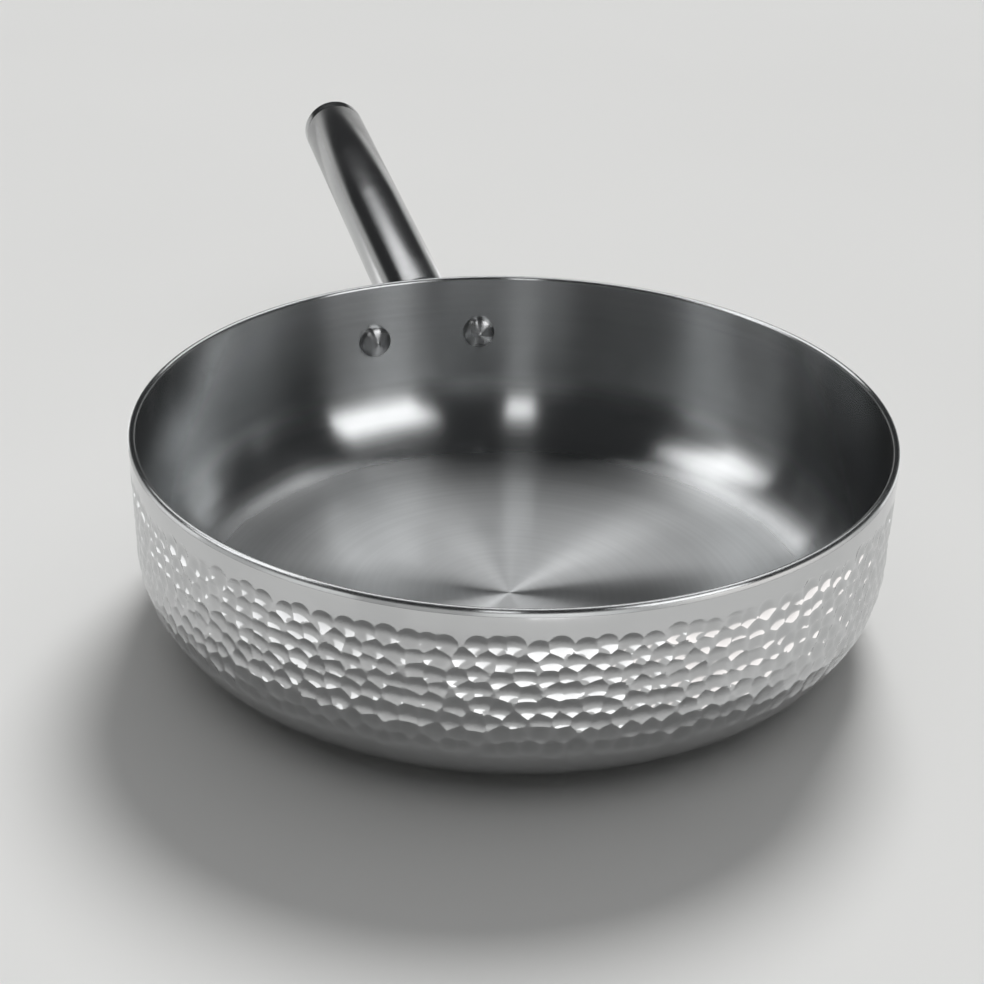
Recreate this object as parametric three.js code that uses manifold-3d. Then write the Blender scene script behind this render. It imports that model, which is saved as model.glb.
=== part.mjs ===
// A hammered three-layer steel saute pan with one long tubular handle.
// Millimetres, +Z up. The origin is the middle of the base, on the surface that the pan stands on,
// and the handle points along +Y.

import * as THREE from 'three';
import { mergeVertices } from 'three/addons/utils/BufferGeometryUtils.js';
import Module from 'manifold-3d';

const wasm = await Module();
wasm.setup();

// Bowl: a hammered steel skin outside, an aluminium core and a plain steel skin inside.
const RIM_RADIUS = 120;
const PAN_HEIGHT = 67.5;
const WALL_DRAFT = THREE.MathUtils.degToRad(0.8);
const BASE_CORNER = 31;
const OUTER_SKIN = 0.8;
const CORE = 1.0;
const INNER_SKIN = 0.5;
const BOND_LINE = 0.05;
const LIP_DEPTH = 2;

// Hammer marks: staggered rows of hollows round the outside, struck by hand, so none is quite in line.
const HOLLOWS_ROUND = 124;
const HOLLOW_ROWS = 8;
const ROW_PITCH = 4.75;
const PLAIN_BAND = 8.4;
const HOLLOW_DEPTH = 0.5;
const STRAY_ALONG = 0.34;
const STRAY_ACROSS = 0.22;
const ROW_DRIFT = 0.3;

// Handle: a round tube, closed by a pressed cap and carried by a riveted saddle bracket.
const TUBE_RADIUS = 12.7;
const TUBE_WALL = 1.2;
const HANDLE_TILT = THREE.MathUtils.degToRad(7);
const HANDLE_REACH = 172.5;
const HANDLE_ROOT = 51.8;
const CAP_RIM = 6;
const CAP_EDGE = 2;
const CAP_PLUG = 8;
const CAP_SHEET = 1.2;
const BRACKET_THICKNESS = 2.5;
const BRACKET_BODY_RADIUS = 14.2;
const BRACKET_BODY_HEIGHT = 50.8;
const BRACKET_EAR_RADIUS = 9;
const SPIGOT_LENGTH = 18;
const SPIGOT_WALL = 2;

// Rivets: a domed head with a small pip inside the bowl, a clenched head outside on the bracket.
const RIVET_HEIGHT = 46;
const RIVET_ANGLE = THREE.MathUtils.degToRad(9.7);
const HEAD_RADIUS = 5.75;
const HEAD_EDGE = 0.7;
const HEAD_RISE = 2.2;
const PIP_RADIUS = 0.8;
const PIP_RISE = 0.3;
const SHANK_RADIUS = 3;
const CLENCH_RADIUS = 5;
const CLENCH_RISE = 1.8;

// Fits and facets. The drill and the bracket's blank are long enough to pass right through the wall.
const FIT_GAP = 0.3;
const DRILL_LENGTH = 30;
const BLANK_DEPTH = 30;
const BOWL_SEGMENTS = HOLLOWS_ROUND / 2;
const CORNER_STEPS = 5;
const LIP_STEPS = 4;
const TUBE_SEGMENTS = 24;
const CAP_EDGE_STEPS = 3;
const RIVET_SEGMENTS = 16;
const DOME_STEPS = 3;
const SADDLE_SEGMENTS = 128;
const OUTLINE_SEGMENTS = 6;

const TURN = 2 * Math.PI;
const QUARTER = Math.PI / 2;
const WALL = OUTER_SKIN + CORE + INNER_SKIN + 2 * BOND_LINE;
const SKIN_TOP = PAN_HEIGHT - LIP_DEPTH - BOND_LINE;
const BRACKET_SEAT = FIT_GAP;
const BRACKET_FACE = BRACKET_SEAT + BRACKET_THICKNESS;

const POLISHED_STEEL = { color: 0xb7bbbf, roughness: 0.12 };
const BRUSHED_STEEL = { color: 0xb2b5b8, roughness: 0.34 };
const TURNED_STEEL = { color: 0xa9acb0, roughness: 0.25 };
const PLAIN_ALUMINIUM = { color: 0xcfd2d6, roughness: 0.45 };

// The wall leans in by its draft from the rim down to the corner, and the corner rolls under to the base.
const CORNER_SWEEP = QUARTER - WALL_DRAFT;
const CORNER_LENGTH = BASE_CORNER * CORNER_SWEEP;
const STRAIGHT_RISE = PAN_HEIGHT - BASE_CORNER + BASE_CORNER * Math.sin(WALL_DRAFT);
const STRAIGHT_LENGTH = STRAIGHT_RISE / Math.cos(WALL_DRAFT);
const CORNER_CENTRE = wallRadius(BASE_CORNER) - BASE_CORNER / Math.cos(WALL_DRAFT);

function wallRadius(height, inset = 0) {
  return RIM_RADIUS - (PAN_HEIGHT - height) * Math.tan(WALL_DRAFT) - inset / Math.cos(WALL_DRAFT);
}

function cornerPoint(angle, inset) {
  const reach = BASE_CORNER - inset;
  return [CORNER_CENTRE + reach * Math.cos(angle), BASE_CORNER - reach * Math.sin(angle)];
}

// Half of the bowl's section, an inset in from its outside: from the axis along the base and up the wall.
function bowlSection(inset, topHeight) {
  const points = [[0, inset]];
  for (let step = CORNER_STEPS; step >= 0; step -= 1) {
    points.push(cornerPoint(WALL_DRAFT + (CORNER_SWEEP * step) / CORNER_STEPS, inset));
  }
  points.push([wallRadius(topHeight, inset), topHeight]);
  return points;
}

function roundPoint(radius, turn, height) {
  return new THREE.Vector3(radius * Math.sin(turn), -radius * Math.cos(turn), height);
}

// A point on the outside of the bowl, at a distance down its section from the rim, pressed in by a depth.
function outsidePoint(turn, distance, depth = 0) {
  const past = Math.max(0, distance - STRAIGHT_LENGTH);
  const short = Math.max(0, STRAIGHT_LENGTH - distance);
  const [radius, height] = cornerPoint(WALL_DRAFT + past / BASE_CORNER, depth);
  return roundPoint(radius + short * Math.sin(WALL_DRAFT), turn, height + short * Math.cos(WALL_DRAFT));
}

// A section turned about +Y, the handle's and the rivets' own axis, or about the bowl's axis, +Z.
function revolve(section, segments) {
  const points = section.map(([radius, along]) => new THREE.Vector2(radius, along));
  return new THREE.LatheGeometry(points, segments);
}

function revolveBowl(section, segments = BOWL_SEGMENTS) {
  return revolve(section, segments).rotateX(QUARTER);
}

// A closed geometry as a solid that can be joined and cut, and a solid as a geometry again.
function solidFrom(geometry) {
  geometry.deleteAttribute('normal');
  geometry.deleteAttribute('uv');
  const merged = mergeVertices(geometry);
  const corners = Array.from(merged.index.array);
  const triangles = [];
  for (let i = 0; i < corners.length; i += 3) {
    const [a, b, c] = corners.slice(i, i + 3);
    if (a !== b && b !== c && c !== a) {
      triangles.push(a, b, c);
    }
  }
  const mesh = new wasm.Mesh({
    numProp: 3,
    vertProperties: Float32Array.from(merged.attributes.position.array),
    triVerts: Uint32Array.from(triangles),
  });
  return new wasm.Manifold(mesh);
}

function geometryFrom(solid) {
  const mesh = solid.getMesh();
  const geometry = new THREE.BufferGeometry();
  geometry.setAttribute('position', new THREE.BufferAttribute(mesh.vertProperties, 3));
  geometry.setIndex(new THREE.BufferAttribute(mesh.triVerts, 1));
  geometry.computeVertexNormals();
  return geometry;
}

function piece(name, solid, finish) {
  const material = new THREE.MeshStandardMaterial({ ...finish, metalness: 1, flatShading: true });
  const mesh = new THREE.Mesh(geometryFrom(solid), material);
  mesh.name = name;
  return mesh;
}

// Points and triangles gathered ring by ring, each ring one closed loop round the bowl.
class RingMesh {
  positions = [];
  triangles = [];

  point(position) {
    this.positions.push(position.x, position.y, position.z);
    return this.positions.length / 3 - 1;
  }

  ring(points) {
    return points.map((position) => this.point(position));
  }

  evenRing(count, pointAt) {
    return this.ring(Array.from({ length: count }, (_, i) => pointAt((TURN * i) / count)));
  }

  // A band of triangles between two rings, stepping along whichever of them lags behind.
  band(upper, lower) {
    let u = 0;
    let l = 0;
    while (u < upper.length || l < lower.length) {
      const top = upper[u % upper.length];
      const foot = lower[l % lower.length];
      if ((u + 0.5) * lower.length <= (l + 0.5) * upper.length) {
        u += 1;
        this.triangles.push(top, foot, upper[u % upper.length]);
      } else {
        l += 1;
        this.triangles.push(top, foot, lower[l % lower.length]);
      }
    }
  }

  fan(centre, loop) {
    loop.forEach((corner, i) => this.triangles.push(centre, corner, loop[(i + 1) % loop.length]));
  }

  geometry() {
    const geometry = new THREE.BufferGeometry();
    geometry.setAttribute('position', new THREE.Float32BufferAttribute(this.positions, 3));
    geometry.setIndex(this.triangles);
    return geometry;
  }
}

// A fixed number between -0.5 and 0.5 for each hammer mark, so that the marks stray alike every time.
function stray(row, column, kind) {
  const wave = Math.sin(row * 127.1 + column * 311.7 + kind * 74.7) * 43758.5453;
  return wave - Math.floor(wave) - 0.5;
}

function hollowCentre(row, column) {
  const wrapped = (column + HOLLOWS_ROUND) % HOLLOWS_ROUND;
  const stagger = (row & 1) / 2 + ROW_DRIFT * stray(row, 0, 3);
  const along = column + stagger + STRAY_ALONG * stray(row, wrapped, 1);
  const across = row + 0.5 + STRAY_ACROSS * stray(row, wrapped, 2);
  return { turn: (TURN * along) / HOLLOWS_ROUND, distance: PLAIN_BAND + ROW_PITCH * across };
}

// The left one of the two hollows that a hollow touches in the next row, above or below.
function leftNeighbour(row, column) {
  return (row & 1) === 1 ? column : column - 1;
}

// Three hollows meet at each corner of the ridges, so the corner lies in the middle of the three.
function ridgeCorner(...centres) {
  const mean = (key) => centres.reduce((sum, centre) => sum + centre[key], 0) / centres.length;
  return outsidePoint(mean('turn'), mean('distance'));
}

function ridgeCornersAbove(row) {
  const corners = [];
  for (let column = 0; column < HOLLOWS_ROUND; column += 1) {
    const left = leftNeighbour(row, column);
    const centre = hollowCentre(row, column);
    const upperLeft = hollowCentre(row - 1, left);
    const upperRight = hollowCentre(row - 1, left + 1);
    corners.push(ridgeCorner(centre, upperLeft, upperRight));
    corners.push(ridgeCorner(centre, hollowCentre(row, column + 1), upperRight));
  }
  return corners;
}

// One row of hollows, each a fan from its deepest point to the six ridge corners round it.
function pressRow(mesh, row, above, below) {
  const corner = (ring, i) => ring[(i + ring.length) % ring.length];
  for (let column = 0; column < HOLLOWS_ROUND; column += 1) {
    const centre = hollowCentre(row, column);
    const deepest = mesh.point(outsidePoint(centre.turn, centre.distance, HOLLOW_DEPTH));
    const top = 2 * column;
    const left = 2 * leftNeighbour(row, column);
    const upperCorners = [corner(above, top + 1), corner(above, top), corner(above, top - 1)];
    const lowerCorners = [corner(below, left), corner(below, left + 1), corner(below, left + 2)];
    mesh.fan(deepest, [...upperCorners, ...lowerCorners]);
  }
}

function hammeredOuterSkin() {
  const mesh = new RingMesh();
  const edgeMargin = ROW_PITCH / 4;
  const marksStart = PLAIN_BAND - edgeMargin;
  const marksEnd = PLAIN_BAND + HOLLOW_ROWS * ROW_PITCH + edgeMargin;
  const sectionEnd = STRAIGHT_LENGTH + CORNER_LENGTH;

  // The outside from the lip down: plain band, hammered rows, smooth corner, flat base.
  const top = mesh.evenRing(BOWL_SEGMENTS, (turn) => roundPoint(wallRadius(SKIN_TOP), turn, SKIN_TOP));
  let last = mesh.evenRing(HOLLOWS_ROUND, (turn) => outsidePoint(turn, marksStart));
  mesh.band(top, last);
  for (let row = 0; row <= HOLLOW_ROWS; row += 1) {
    const ridge = mesh.ring(ridgeCornersAbove(row));
    if (row === 0) {
      mesh.band(last, ridge);
    } else {
      pressRow(mesh, row - 1, last, ridge);
    }
    last = ridge;
  }
  const lowerEdge = mesh.evenRing(HOLLOWS_ROUND, (turn) => outsidePoint(turn, marksEnd));
  mesh.band(last, lowerEdge);
  last = lowerEdge;
  for (let step = 1; step < CORNER_STEPS; step += 1) {
    const distance = marksEnd + ((sectionEnd - marksEnd) * step) / (CORNER_STEPS - 1);
    const ring = mesh.evenRing(BOWL_SEGMENTS, (turn) => outsidePoint(turn, distance));
    mesh.band(last, ring);
    last = ring;
  }
  mesh.fan(mesh.point(roundPoint(0, 0, 0)), last.reverse());

  // The smooth inside, bonded to the core, from the base up to the lip.
  const [middle, ...wall] = bowlSection(OUTER_SKIN, SKIN_TOP);
  const rings = wall.map(([radius, height]) =>
    mesh.evenRing(BOWL_SEGMENTS, (turn) => roundPoint(radius, turn, height)),
  );
  mesh.fan(mesh.point(roundPoint(0, 0, middle[1])), rings[0]);
  rings.slice(1).forEach((ring, i) => mesh.band(rings[i], ring));
  mesh.band(rings.at(-1), top);
  return solidFrom(mesh.geometry());
}

function heatCore() {
  const outside = OUTER_SKIN + BOND_LINE;
  const section = [
    ...bowlSection(outside, SKIN_TOP),
    ...bowlSection(outside + CORE, SKIN_TOP).reverse(),
  ];
  return solidFrom(revolveBowl(section));
}

// The inner skin turns out at the rim into a rounded lip that closes the edge over the other two layers.
function brushedInnerSkin() {
  const lipFoot = PAN_HEIGHT - LIP_DEPTH;
  const lipRound = WALL / 2;
  const lipCentre = PAN_HEIGHT - lipRound;
  const lip = [[wallRadius(lipFoot), lipFoot]];
  for (let step = 0; step < LIP_STEPS; step += 1) {
    const angle = (Math.PI * step) / LIP_STEPS;
    const radius = wallRadius(lipCentre, lipRound) + lipRound * Math.cos(angle);
    lip.push([radius, lipCentre + lipRound * Math.sin(angle)]);
  }
  const section = [
    ...bowlSection(WALL - INNER_SKIN, lipFoot),
    ...lip,
    ...bowlSection(WALL, lipCentre).reverse(),
  ];
  return solidFrom(revolveBowl(section));
}

// All that lies within an offset from the straight wall, as a block to cut saddle faces with.
function wallBlock(offset) {
  const low = BASE_CORNER;
  const high = PAN_HEIGHT + BLANK_DEPTH;
  const section = [
    [0, low],
    [wallRadius(low) + offset, low],
    [wallRadius(high) + offset, high],
    [0, high],
  ];
  return revolveBowl(section, SADDLE_SEGMENTS);
}

const handle = new THREE.Group();
handle.position.set(0, RIM_RADIUS, HANDLE_ROOT);
handle.rotation.x = HANDLE_TILT;
handle.updateMatrix();

// An oval flange: a round body behind the tube and an ear round each rivet, joined by straight tangents.
function bracketOutline() {
  const earX = (wallRadius(RIVET_HEIGHT) + BRACKET_FACE) * Math.sin(RIVET_ANGLE);
  const drop = RIVET_HEIGHT - BRACKET_BODY_HEIGHT;
  const slope = Math.atan2(drop, earX);
  const spread = Math.acos((BRACKET_BODY_RADIUS - BRACKET_EAR_RADIUS) / Math.hypot(earX, drop));
  const upper = slope + spread;
  const lower = slope - spread;
  const outline = new THREE.Shape();
  outline.absarc(earX, RIVET_HEIGHT, BRACKET_EAR_RADIUS, lower, upper);
  outline.absarc(0, BRACKET_BODY_HEIGHT, BRACKET_BODY_RADIUS, upper, Math.PI - upper);
  outline.absarc(-earX, RIVET_HEIGHT, BRACKET_EAR_RADIUS, Math.PI - upper, Math.PI - lower);
  outline.absarc(0, BRACKET_BODY_HEIGHT, BRACKET_BODY_RADIUS, Math.PI - lower, TURN + lower);
  outline.closePath();
  return outline;
}

function handleBracket() {
  const blank = new THREE.ExtrudeGeometry(bracketOutline(), {
    depth: BLANK_DEPTH,
    bevelEnabled: false,
    curveSegments: OUTLINE_SEGMENTS,
  });
  blank.rotateX(QUARTER).translate(0, RIM_RADIUS + BLANK_DEPTH / 2, 0);
  const spigotRadius = TUBE_RADIUS - TUBE_WALL - FIT_GAP;
  const spigotFloor = BRACKET_FACE + BRACKET_THICKNESS;
  const spigot = revolve([
    [0, -BRACKET_THICKNESS],
    [spigotRadius, -BRACKET_THICKNESS],
    [spigotRadius, SPIGOT_LENGTH],
    [spigotRadius - SPIGOT_WALL, SPIGOT_LENGTH],
    [spigotRadius - SPIGOT_WALL, spigotFloor],
    [0, spigotFloor],
  ], TUBE_SEGMENTS);
  spigot.applyMatrix4(handle.matrix);
  const flange = solidFrom(blank).intersect(solidFrom(wallBlock(BRACKET_FACE)));
  return flange.add(solidFrom(spigot)).subtract(solidFrom(wallBlock(BRACKET_SEAT)));
}

// The tube's foot is cut to the curve of the bracket that it is welded to.
function handleTube() {
  const end = HANDLE_REACH - CAP_RIM - FIT_GAP;
  const bore = TUBE_RADIUS - TUBE_WALL;
  const tube = revolve([[bore, 0], [TUBE_RADIUS, 0], [TUBE_RADIUS, end], [bore, end], [bore, 0]], TUBE_SEGMENTS);
  const saddle = wallBlock(BRACKET_FACE + FIT_GAP).applyMatrix4(handle.matrix.clone().invert());
  return solidFrom(tube).subtract(solidFrom(saddle));
}

function handleEndCap() {
  const seat = HANDLE_REACH - CAP_RIM;
  const plug = TUBE_RADIUS - TUBE_WALL - FIT_GAP;
  const cup = plug - CAP_SHEET;
  const section = [
    [0, HANDLE_REACH - CAP_SHEET],
    [cup, HANDLE_REACH - CAP_SHEET],
    [cup, seat - CAP_PLUG],
    [plug, seat - CAP_PLUG],
    [plug, seat],
    [TUBE_RADIUS, seat],
  ];
  for (let step = 0; step <= CAP_EDGE_STEPS; step += 1) {
    const angle = (QUARTER * step) / CAP_EDGE_STEPS;
    const inset = CAP_EDGE * (1 - Math.cos(angle));
    section.push([TUBE_RADIUS - inset, HANDLE_REACH - CAP_EDGE + CAP_EDGE * Math.sin(angle)]);
  }
  section.push([0, HANDLE_REACH]);
  return solidFrom(revolve(section, TUBE_SEGMENTS));
}

// A dome's section from its edge to a stop short of its axis, rising along +Y or, for -1, along -Y.
function domeSection(radius, edge, rise, side, stop = 0) {
  const points = [];
  const last = Math.acos(stop / radius);
  for (let step = 0; step <= DOME_STEPS; step += 1) {
    const angle = (last * step) / DOME_STEPS;
    points.push([radius * Math.cos(angle), edge + side * rise * Math.sin(angle)]);
  }
  return points;
}

function rivet() {
  const inside = wallRadius(RIVET_HEIGHT, WALL);
  const headSeat = Math.sqrt(inside ** 2 - HEAD_RADIUS ** 2) - FIT_GAP;
  const clenchSeat = wallRadius(RIVET_HEIGHT) + BRACKET_FACE + FIT_GAP;
  const headTop = headSeat - HEAD_EDGE - HEAD_RISE;
  const head = domeSection(HEAD_RADIUS, headSeat - HEAD_EDGE, HEAD_RISE, -1, PIP_RADIUS).reverse();
  const section = [
    [0, headTop - PIP_RISE],
    ...head,
    [HEAD_RADIUS, headSeat],
    [SHANK_RADIUS, headSeat],
    [SHANK_RADIUS, clenchSeat],
    ...domeSection(CLENCH_RADIUS, clenchSeat, CLENCH_RISE, 1),
  ];
  return solidFrom(revolve(section, RIVET_SEGMENTS));
}

// The two holes that the rivets pass through, in every layer and in the bracket.
function rivetHoles() {
  const holes = [-RIVET_ANGLE, RIVET_ANGLE].map((angle) => {
    const radius = SHANK_RADIUS + FIT_GAP;
    const drill = new THREE.CylinderGeometry(radius, radius, DRILL_LENGTH, RIVET_SEGMENTS);
    return solidFrom(drill.translate(0, RIM_RADIUS, RIVET_HEIGHT).rotateZ(angle));
  });
  return holes[0].add(holes[1]);
}

const holes = rivetHoles();
const pan = new THREE.Group();
pan.add(piece('hammered_outer_skin', hammeredOuterSkin().subtract(holes), POLISHED_STEEL));
pan.add(piece('heat_core', heatCore().subtract(holes), PLAIN_ALUMINIUM));
pan.add(piece('brushed_inner_skin', brushedInnerSkin().subtract(holes), BRUSHED_STEEL));
pan.add(piece('handle_bracket', handleBracket().subtract(holes), POLISHED_STEEL));

handle.add(piece('handle_tube', handleTube(), POLISHED_STEEL));
handle.add(piece('handle_end_cap', handleEndCap(), POLISHED_STEEL));
pan.add(handle);

for (const [name, angle] of [['rivet_left', RIVET_ANGLE], ['rivet_right', -RIVET_ANGLE]]) {
  const mesh = piece(name, rivet(), TURNED_STEEL);
  mesh.position.z = RIVET_HEIGHT;
  mesh.rotation.z = angle;
  pan.add(mesh);
}

export default pan;
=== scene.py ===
# %% [markdown]
# # A hammered saute pan
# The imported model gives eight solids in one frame: three bonded sheets that make the bowl, a bracket, a
# tube, an end cap and two rivets. Each solid is faceted. In this lesson every one is modelled again as a
# fine smooth mesh in the same place, and gets the finish that the real sheet has.

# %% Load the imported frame
from math import acos, cos, pi, radians, sin, sqrt, tan

import bpy
import numpy as np
from mathutils import Matrix, Vector


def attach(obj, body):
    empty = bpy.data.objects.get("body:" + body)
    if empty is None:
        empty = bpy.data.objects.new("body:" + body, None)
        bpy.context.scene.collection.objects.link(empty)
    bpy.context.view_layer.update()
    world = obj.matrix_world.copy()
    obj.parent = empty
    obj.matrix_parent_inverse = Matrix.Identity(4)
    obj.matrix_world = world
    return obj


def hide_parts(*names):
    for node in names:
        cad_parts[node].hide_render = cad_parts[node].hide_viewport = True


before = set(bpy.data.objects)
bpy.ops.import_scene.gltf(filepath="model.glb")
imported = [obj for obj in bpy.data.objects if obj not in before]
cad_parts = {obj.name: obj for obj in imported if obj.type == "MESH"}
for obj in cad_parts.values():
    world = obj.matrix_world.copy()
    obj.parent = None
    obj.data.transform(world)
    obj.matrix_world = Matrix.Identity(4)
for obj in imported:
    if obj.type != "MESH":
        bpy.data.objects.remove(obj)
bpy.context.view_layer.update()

MM = 0.001
print("solids in the frame:", ", ".join(sorted(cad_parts)))

# %% [markdown]
# ## The camera
# A product picture is easiest to compare with a photograph when both are taken from one place. The rim's
# ellipse, the two rivets and both edges of the handle fix that place and the lens. The heading is turned
# from the handle's direction, the pitch looks down into the bowl, and a little roll levels the rim as in
# the picture.

# %% Place the camera
CAMERA_PLACE = (-159.45 * MM, -534.88 * MM, 331.14 * MM)
CAMERA_HEADING = radians(15.936)
CAMERA_PITCH = radians(27.572)
CAMERA_ROLL = radians(1.280)
FRAME_PIXELS = 984
FOCAL_PIXELS = 1960

camera_data = bpy.data.cameras.new("camera")
camera_data.sensor_width = 36
camera_data.lens = FOCAL_PIXELS * camera_data.sensor_width / FRAME_PIXELS
camera_data.clip_start = 0.01
camera = bpy.data.objects.new("camera", camera_data)
bpy.context.scene.collection.objects.link(camera)
camera.matrix_world = (
    Matrix.Translation(CAMERA_PLACE)
    @ Matrix.Rotation(-CAMERA_HEADING, 4, "Z")
    @ Matrix.Rotation(pi / 2 - CAMERA_PITCH, 4, "X")
    @ Matrix.Rotation(CAMERA_ROLL, 4, "Z")
)
bpy.context.scene.camera = camera
bpy.context.scene.view_settings.view_transform = "Standard"
print("lens in mm:", round(camera_data.lens, 1))

# %% [markdown]
# ## Node helpers
# Every finish below is a small node tree. A few helpers keep the trees readable. They add a node with its
# settings, feed it a number or another node's result, or return the result of one sum, so that a formula
# can be written from the inside out.

# %% Helpers for node trees
def add_node(tree, kind, **settings):
    made = tree.nodes.new(kind)
    for key, value in settings.items():
        setattr(made, key, value)
    return made


def feed(tree, source, socket):
    if isinstance(source, (int, float, tuple)):
        socket.default_value = source
    else:
        tree.links.new(source, socket)


def calc(tree, operation, first, second=0.0, third=0.0):
    made = add_node(tree, "ShaderNodeMath", operation=operation)
    for source, socket in zip((first, second, third), made.inputs):
        feed(tree, source, socket)
    return made.outputs[0]


def blend_range(tree, value, low, high, start=0.0, end=1.0):
    made = add_node(tree, "ShaderNodeMapRange", interpolation_type="SMOOTHSTEP")
    for source, socket in zip((value, low, high, start, end), made.inputs):
        feed(tree, source, socket)
    return made.outputs[0]


def noise(tree, vector, scale, detail=2.0):
    made = add_node(tree, "ShaderNodeTexNoise")
    feed(tree, vector, made.inputs["Vector"])
    made.inputs["Scale"].default_value = scale
    made.inputs["Detail"].default_value = detail
    return made.outputs[0]


print("helpers: add_node, feed, calc, blend_range, noise")

# %% [markdown]
# ## The studio
# Steel has hardly any colour of its own: it shows the room. A pale matt floor runs out to a pale
# backdrop, and the room above is dim, so that the inside of the bowl stays grey. Soft boxes at the left,
# at the right and behind the camera draw the bright bands on the wall, a broad one behind the pan fills
# the base, and panels that lie on the floor outside the picture put a glint into each hollow. Polished
# steel wants other lamps than a painted floor. So these are only for reflections, and the floor has two
# lamps of its own that are far away and light it evenly: a key behind the pan and a weak fill above.

# %% The floor
FLOOR_SIZE = 40.0

bpy.ops.object.select_all(action="DESELECT")
bpy.ops.mesh.primitive_plane_add(size=FLOOR_SIZE)
floor = bpy.context.object
floor.name = "floor"
floor_paint = bpy.data.materials.new("floor_paint")
floor_paint.use_nodes = True
tree = floor_paint.node_tree
shader = tree.nodes["Principled BSDF"]
where = add_node(tree, "ShaderNodeTexCoord").outputs["Object"]
shade = add_node(tree, "ShaderNodeMix", data_type="RGBA")
feed(tree, noise(tree, where, 3.0), shade.inputs["Factor"])
shade.inputs["A"].default_value = (0.69, 0.69, 0.68, 1)
shade.inputs["B"].default_value = (0.73, 0.73, 0.72, 1)
feed(tree, shade.outputs["Result"], shader.inputs["Base Color"])
shader.inputs["Roughness"].default_value = 0.9
shader.inputs["Specular IOR Level"].default_value = 0
floor.data.materials.append(floor_paint)
print("floor:", FLOOR_SIZE, "m")

# %% The room
room = bpy.data.worlds.new("room")
bpy.context.scene.world = room
room.use_nodes = True
tree = room.node_tree
height = add_node(tree, "ShaderNodeSeparateXYZ")
feed(tree, add_node(tree, "ShaderNodeTexCoord").outputs["Generated"], height.inputs[0])
grade = add_node(tree, "ShaderNodeMix", data_type="RGBA")
feed(tree, blend_range(tree, height.outputs["Z"], 0.07, 0.2), grade.inputs["Factor"])
grade.inputs["A"].default_value = (0.62, 0.62, 0.61, 1)
grade.inputs["B"].default_value = (0.035, 0.036, 0.037, 1)
feed(tree, grade.outputs["Result"], tree.nodes["Background"].inputs["Color"])
print("room: dim, with a pale backdrop at the horizon")

# %% The soft boxes
AIM = Vector((0, 0, 0.03))
# Name, turn and lift in degrees, reach, width and height in metres, level
SOFT_BOXES = (
    ("left_box", 158, 44, 1.5, 0.55, 0.9, 2.4),
    ("right_box", -55, 33, 1.5, 0.8, 0.9, 2.6),
    ("front_box", -109, 38, 1.7, 0.25, 0.8, 2.2),
    ("back_box", 80, 52, 2.0, 2.2, 1.2, 1.9),
)


def soft_lamp(name, width, height, level):
    lamp = bpy.data.lights.new(name, "AREA")
    lamp.shape = "RECTANGLE"
    lamp.size, lamp.size_y = width, height
    lamp.energy = level * pi * width * height
    return lamp


def hang(name, lamp, turn, lift, reach):
    lit = bpy.data.objects.new(name, lamp)
    bpy.context.scene.collection.objects.link(lit)
    flat = reach * cos(radians(lift))
    rise = reach * sin(radians(lift))
    lit.location = AIM + Vector((flat * cos(radians(turn)), flat * sin(radians(turn)), rise))
    lit.rotation_euler = (AIM - lit.location).to_track_quat("-Z", "Y").to_euler()
    lit.visible_camera = False
    return lit


for name, turn, lift, reach, width, height, level in SOFT_BOXES:
    lamp = soft_lamp(name, width, height, level)
    hang(name, lamp, turn, lift, reach).visible_diffuse = False
print("soft boxes:", len(SOFT_BOXES))

# %% The panels that lie on the floor
PANEL_START, PANEL_END = 0.215, 0.9
PANEL_LIFT = 4 * MM
WHITE = (1.0, 1.0, 1.0)
WARM = (1.0, 0.93, 0.9)
# Name, turn in degrees, width in metres, level, colour
PANELS = (
    ("left_panel", -150, 0.1, 0.8, WHITE),
    ("front_panel", -97, 0.14, 1.1, WHITE),
    ("right_panel", -45, 0.26, 0.92, WARM),
    ("far_right_panel", 14, 0.16, 0.9, WHITE),
    ("back_right_panel", 62, 0.14, 1.05, WHITE),
    ("back_left_panel", 118, 0.14, 1.05, WHITE),
    ("far_left_panel", 166, 0.1, 0.8, WHITE),
)
for name, turn, width, level, tint in PANELS:
    lamp = soft_lamp(name, width, PANEL_END - PANEL_START, level)
    lamp.color = tint
    panel = hang(name, lamp, turn, 0, (PANEL_START + PANEL_END) / 2)
    panel.location.z = PANEL_LIFT
    panel.rotation_euler = (pi, 0, radians(turn + 90))
    panel.visible_diffuse = False
print("panels:", len(PANELS))

# %% The floor's lamps
FLOOR_LAMP_REACH = 5.0
# Name, turn, lift and softness in degrees, level
FLOOR_LAMPS = (("key", 62, 44, 22, 2.8), ("fill", 73, 80, 100, 1.0))
for name, turn, lift, softness, level in FLOOR_LAMPS:
    lamp = bpy.data.lights.new(name, "SUN")
    lamp.angle = radians(softness)
    lamp.energy = level
    hang(name, lamp, turn, lift, FLOOR_LAMP_REACH).visible_glossy = False
print("floor lamps:", len(FLOOR_LAMPS))

# %% [markdown]
# ## Turning a section
# A spun pan starts as a flat disc and is pressed over a turning block, so its whole form is one section
# line turned about an axis. Here the line is drawn point by point with Extrude from a single corner, and
# Spin turns it. The points on the axis and the seam are merged, and only then are the faces told which
# way is out.

# %% Helpers that turn a section and move points
MERGE_DISTANCE = 0.004 * MM


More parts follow.
